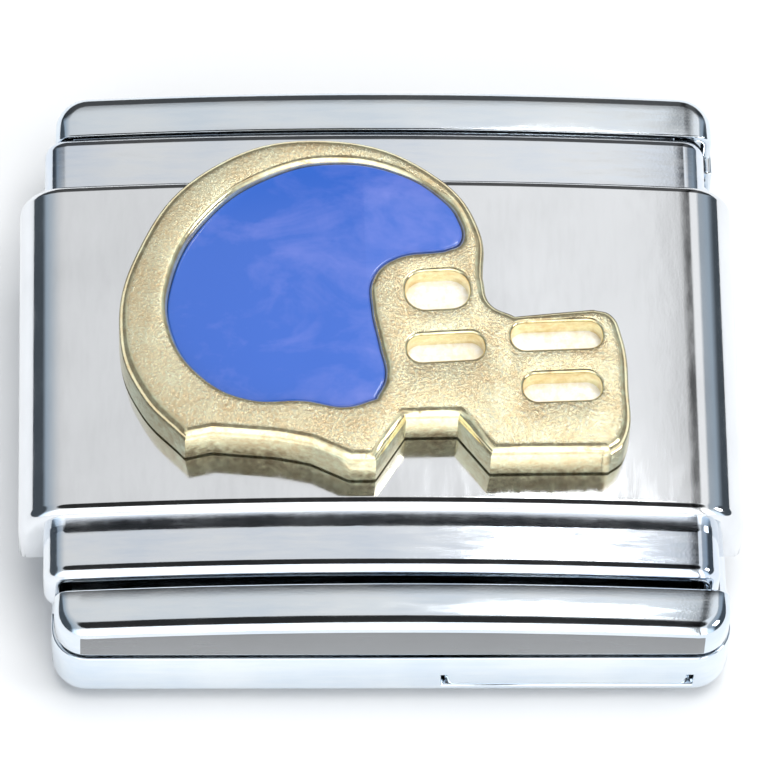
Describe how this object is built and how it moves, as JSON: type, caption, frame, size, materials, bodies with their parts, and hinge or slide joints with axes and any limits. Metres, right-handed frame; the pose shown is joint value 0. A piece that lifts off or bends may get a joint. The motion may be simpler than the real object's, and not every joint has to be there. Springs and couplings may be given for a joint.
{
  "type": "charm bracelet link",
  "caption": "Expansion-bracelet charm link with a wrap-around face plate and an enamelled football helmet emblem; its two halves are joined by sprung staples.",
  "frame": {"origin": "under the middle of the link, on its flat back", "axes": "+X along the bracelet, +Y across the band towards the emblem's top, +Z out of the face"},
  "size_m": [0.01, 0.0088, 0.0035],
  "materials": {
    "polished_plate": "mirror polished with faint rub marks",
    "sleeve_steel": "bright satin",
    "tray_steel": "bright satin, polished bends",
    "staple_steel": "drawn wire, dull",
    "spring_steel": "rolled strip",
    "weld": "dull",
    "gold_plate": "pale gold, fine grained face and polished edges",
    "enamel": "glossy blue with clouded tone",
    "solder": "dull"
  },
  "bodies": {
    "lower_unit": {"lower_sleeve": "sleeve_steel", "lower_tray": "tray_steel", "lower_coupling_spring": "spring_steel", "lower_hook_spring": "spring_steel"},
    "coupling_staples": {"coupling_staple_front": "staple_steel", "coupling_staple_rear": "staple_steel"},
    "upper_unit": {"upper_sleeve": "sleeve_steel", "upper_tray": "tray_steel", "upper_coupling_spring": "spring_steel", "upper_socket_spring": "spring_steel", "face_plate": "polished_plate", "plate_spot_welds": "weld", "emblem_body": "gold_plate", "emblem_enamel": "enamel", "emblem_solder": "solder"},
    "hook_front": {"hook_staple_front": "staple_steel"},
    "hook_rear": {"hook_staple_rear": "staple_steel"}
  },
  "joints": [
    {"name": "staple_tilt", "type": "hinge", "parent": "lower_unit", "child": "coupling_staples", "pos_m": [-0.00126, 0, 0.0006], "axis": [0, -1, 0], "range_deg": [0, 40], "stiffness_Nm_per_rad": 0.004, "springref_deg": -20.05, "deforming": ["lower_coupling_spring"]},
    {"name": "upper_swing", "type": "hinge", "parent": "coupling_staples", "child": "upper_unit", "pos_m": [0.00154, 0, 0.00173], "axis": [0, -1, 0], "range_deg": [-40, 0], "deforming": ["upper_coupling_spring"]},
    {"name": "front_hook_slide", "type": "slide", "parent": "lower_unit", "child": "hook_front", "axis": [0, -1, 0], "range_m": [0, 0.00178]},
    {"name": "rear_hook_slide", "type": "slide", "parent": "lower_unit", "child": "hook_rear", "axis": [0, 1, 0], "range_m": [0, 0.00178]}
  ],
  "couplings": [
    {"joint": "upper_swing", "follows": "staple_tilt", "ratio": -1}
  ]
}
